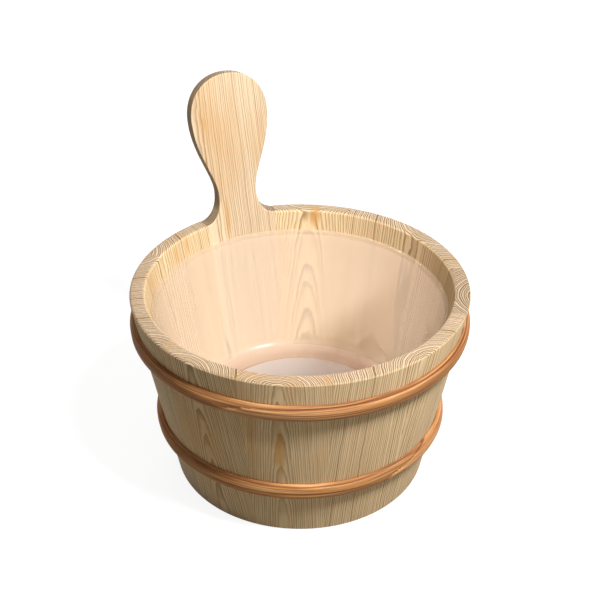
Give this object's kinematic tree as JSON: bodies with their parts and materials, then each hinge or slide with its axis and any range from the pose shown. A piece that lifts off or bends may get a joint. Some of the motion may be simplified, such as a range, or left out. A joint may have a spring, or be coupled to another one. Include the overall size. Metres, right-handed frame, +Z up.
{
  "type": "sauna bucket",
  "caption": "Tapered wooden sauna bucket of glued pine staves, one drawn up into a paddle handle, bound by bent hoops, with a milky plastic liner that lifts out.",
  "frame": {"origin": "on the floor under the middle of the whole part's box; the bucket's own axis stands 10.0 mm towards -Y of it, because the handle leans out on +Y", "axes": "+Z up along the bucket's axis, +Y towards the handle, +X to the right when the handle is at the far side"},
  "size_m": [0.2624, 0.2824, 0.2782],
  "materials": {
    "pine": "sanded bare pine, satin, with fine growth rings",
    "dowel": "plain hardwood dowel",
    "hoop": "orange-brown bent strip with lengthwise fibres, satin",
    "liner": "milky see-through moulded plastic"
  },
  "bodies": {
    "bucket": {"handle_stave": "pine", "stave_01": "pine", "stave_02": "pine", "stave_03": "pine", "stave_04": "pine", "stave_05": "pine", "stave_06": "pine", "stave_07": "pine", "stave_08": "pine", "stave_09": "pine", "stave_10": "pine", "stave_11": "pine", "bottom_board_1": "pine", "bottom_board_2": "pine", "bottom_board_3": "pine", "bottom_dowel_1": "dowel", "bottom_dowel_2": "dowel", "bottom_dowel_3": "dowel", "bottom_dowel_4": "dowel", "lower_hoop": "hoop", "upper_hoop": "hoop"},
    "liner": {"liner": "liner"}
  },
  "joints": [
    {"name": "liner_lift", "type": "slide", "parent": "bucket", "child": "liner", "axis": [0, 0, 1], "range_m": [0, 0.13]}
  ]
}
